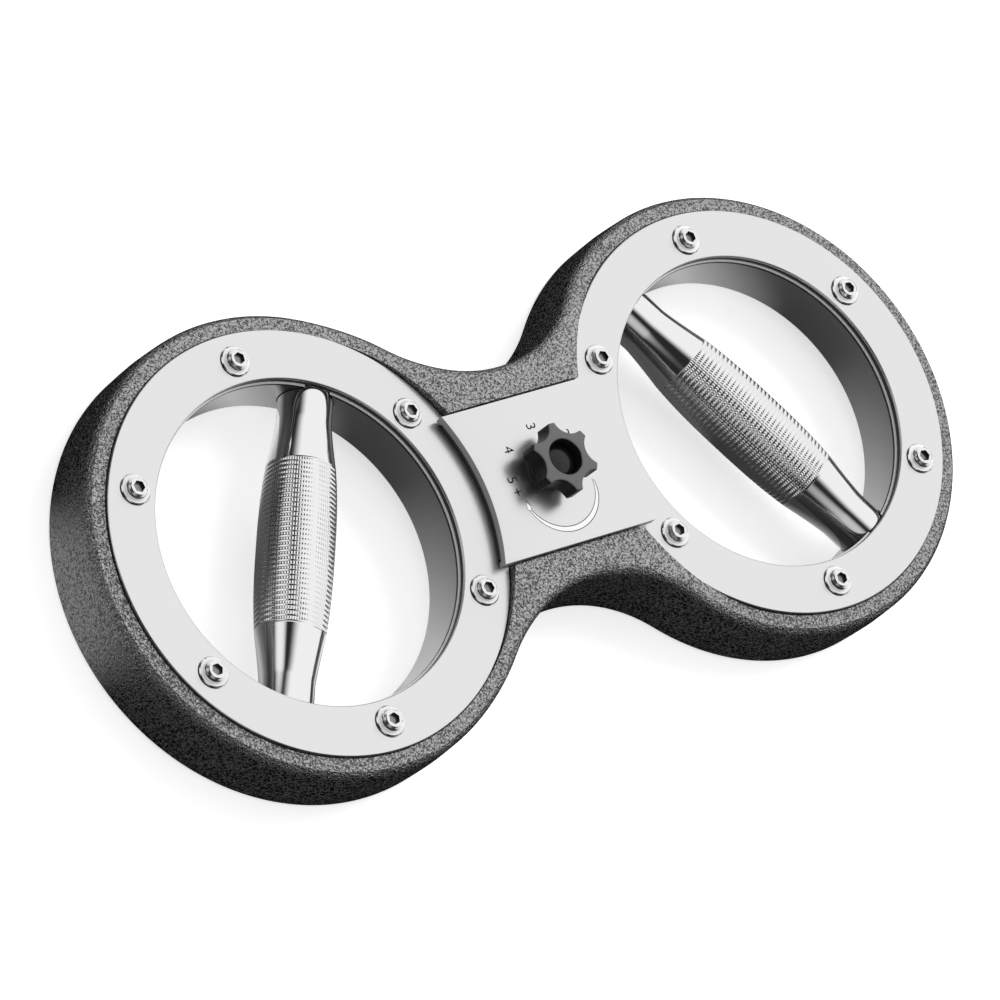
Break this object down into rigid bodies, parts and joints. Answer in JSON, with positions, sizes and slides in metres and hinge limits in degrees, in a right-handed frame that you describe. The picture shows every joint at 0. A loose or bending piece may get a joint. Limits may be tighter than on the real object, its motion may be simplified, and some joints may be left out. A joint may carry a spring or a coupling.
{
  "type": "hand gripper",
  "caption": "Two-handed wrist gripper: a figure-eight cast body holds rings with a knurled grip across each, and a plate with a star knob brakes them.",
  "frame": {"origin": "centre of the flat back that it lies on, midway between the two grips", "axes": "+X from the left grip to the right one, +Y to the picture's top, +Z out of the front"},
  "size_m": [0.4098, 0.1868, 0.0508],
  "materials": {
    "body_paint": "black hammer-finish paint, satin, with a fine wrinkled texture",
    "satin_steel": "pale satin-ground steel",
    "chrome": "polished chrome plate, knurled on the grips' middle",
    "drum_alloy": "smooth turned light alloy",
    "zinc_steel": "bright zinc plate",
    "brass": "turned brass",
    "nylon": "plain white nylon",
    "brake_lining": "dark woven friction lining",
    "knob_plastic": "black moulded plastic, satin",
    "gloss_black": "glossy black plastic"
  },
  "bodies": {
    "frame": {"frame": "body_paint", "left_bearing_liner": "brass", "right_bearing_liner": "brass", "left_front_washer": "nylon", "left_rear_washer": "nylon", "right_front_washer": "nylon", "right_rear_washer": "nylon", "clamp_bolt": "zinc_steel", "lift_spring": "zinc_steel"},
    "left_rotor": {"left_drum": "drum_alloy", "left_front_ring": "satin_steel", "left_front_screw_1": "chrome", "left_front_screw_2": "chrome", "left_front_screw_3": "chrome", "left_front_screw_4": "chrome", "left_front_screw_5": "chrome", "left_front_screw_6": "chrome", "left_grip": "chrome", "left_upper_grip_bolt": "zinc_steel", "left_lower_grip_bolt": "zinc_steel"},
    "right_rotor": {"right_drum": "drum_alloy", "right_front_ring": "satin_steel", "right_front_screw_1": "chrome", "right_front_screw_2": "chrome", "right_front_screw_3": "chrome", "right_front_screw_4": "chrome", "right_front_screw_5": "chrome", "right_front_screw_6": "chrome", "right_grip": "chrome", "right_upper_grip_bolt": "zinc_steel", "right_lower_grip_bolt": "zinc_steel"},
    "brake_plate": {"brake_plate": "satin_steel", "left_brake_lining": "brake_lining", "right_brake_lining": "brake_lining", "knob_washer": "zinc_steel"},
    "clamp_knob": {"clamp_knob": "knob_plastic", "knob_insert": "brass", "knob_cap": "gloss_black"}
  },
  "joints": [
    {"name": "left_rotor_spin", "type": "hinge", "parent": "frame", "child": "left_rotor", "pos_m": [-0.11145, 0, 0.033], "axis": [0, 0, 1], "continuous": true},
    {"name": "right_rotor_spin", "type": "hinge", "parent": "frame", "child": "right_rotor", "pos_m": [0.11145, 0, 0.033], "axis": [0, 0, 1], "continuous": true},
    {"name": "brake_plate_lift", "type": "slide", "parent": "frame", "child": "brake_plate", "axis": [0, 0, 1], "range_m": [0, 0.0006597], "deforming": ["lift_spring"]},
    {"name": "knob_turn", "type": "hinge", "parent": "brake_plate", "child": "clamp_knob", "pos_m": [0, 0, 0.0402], "axis": [0, 0, 1], "range_deg": [0, 190]}
  ],
  "couplings": [
    {"joint": "knob_turn", "follows": "brake_plate_lift", "rad_per_m": 5026.5}
  ]
}
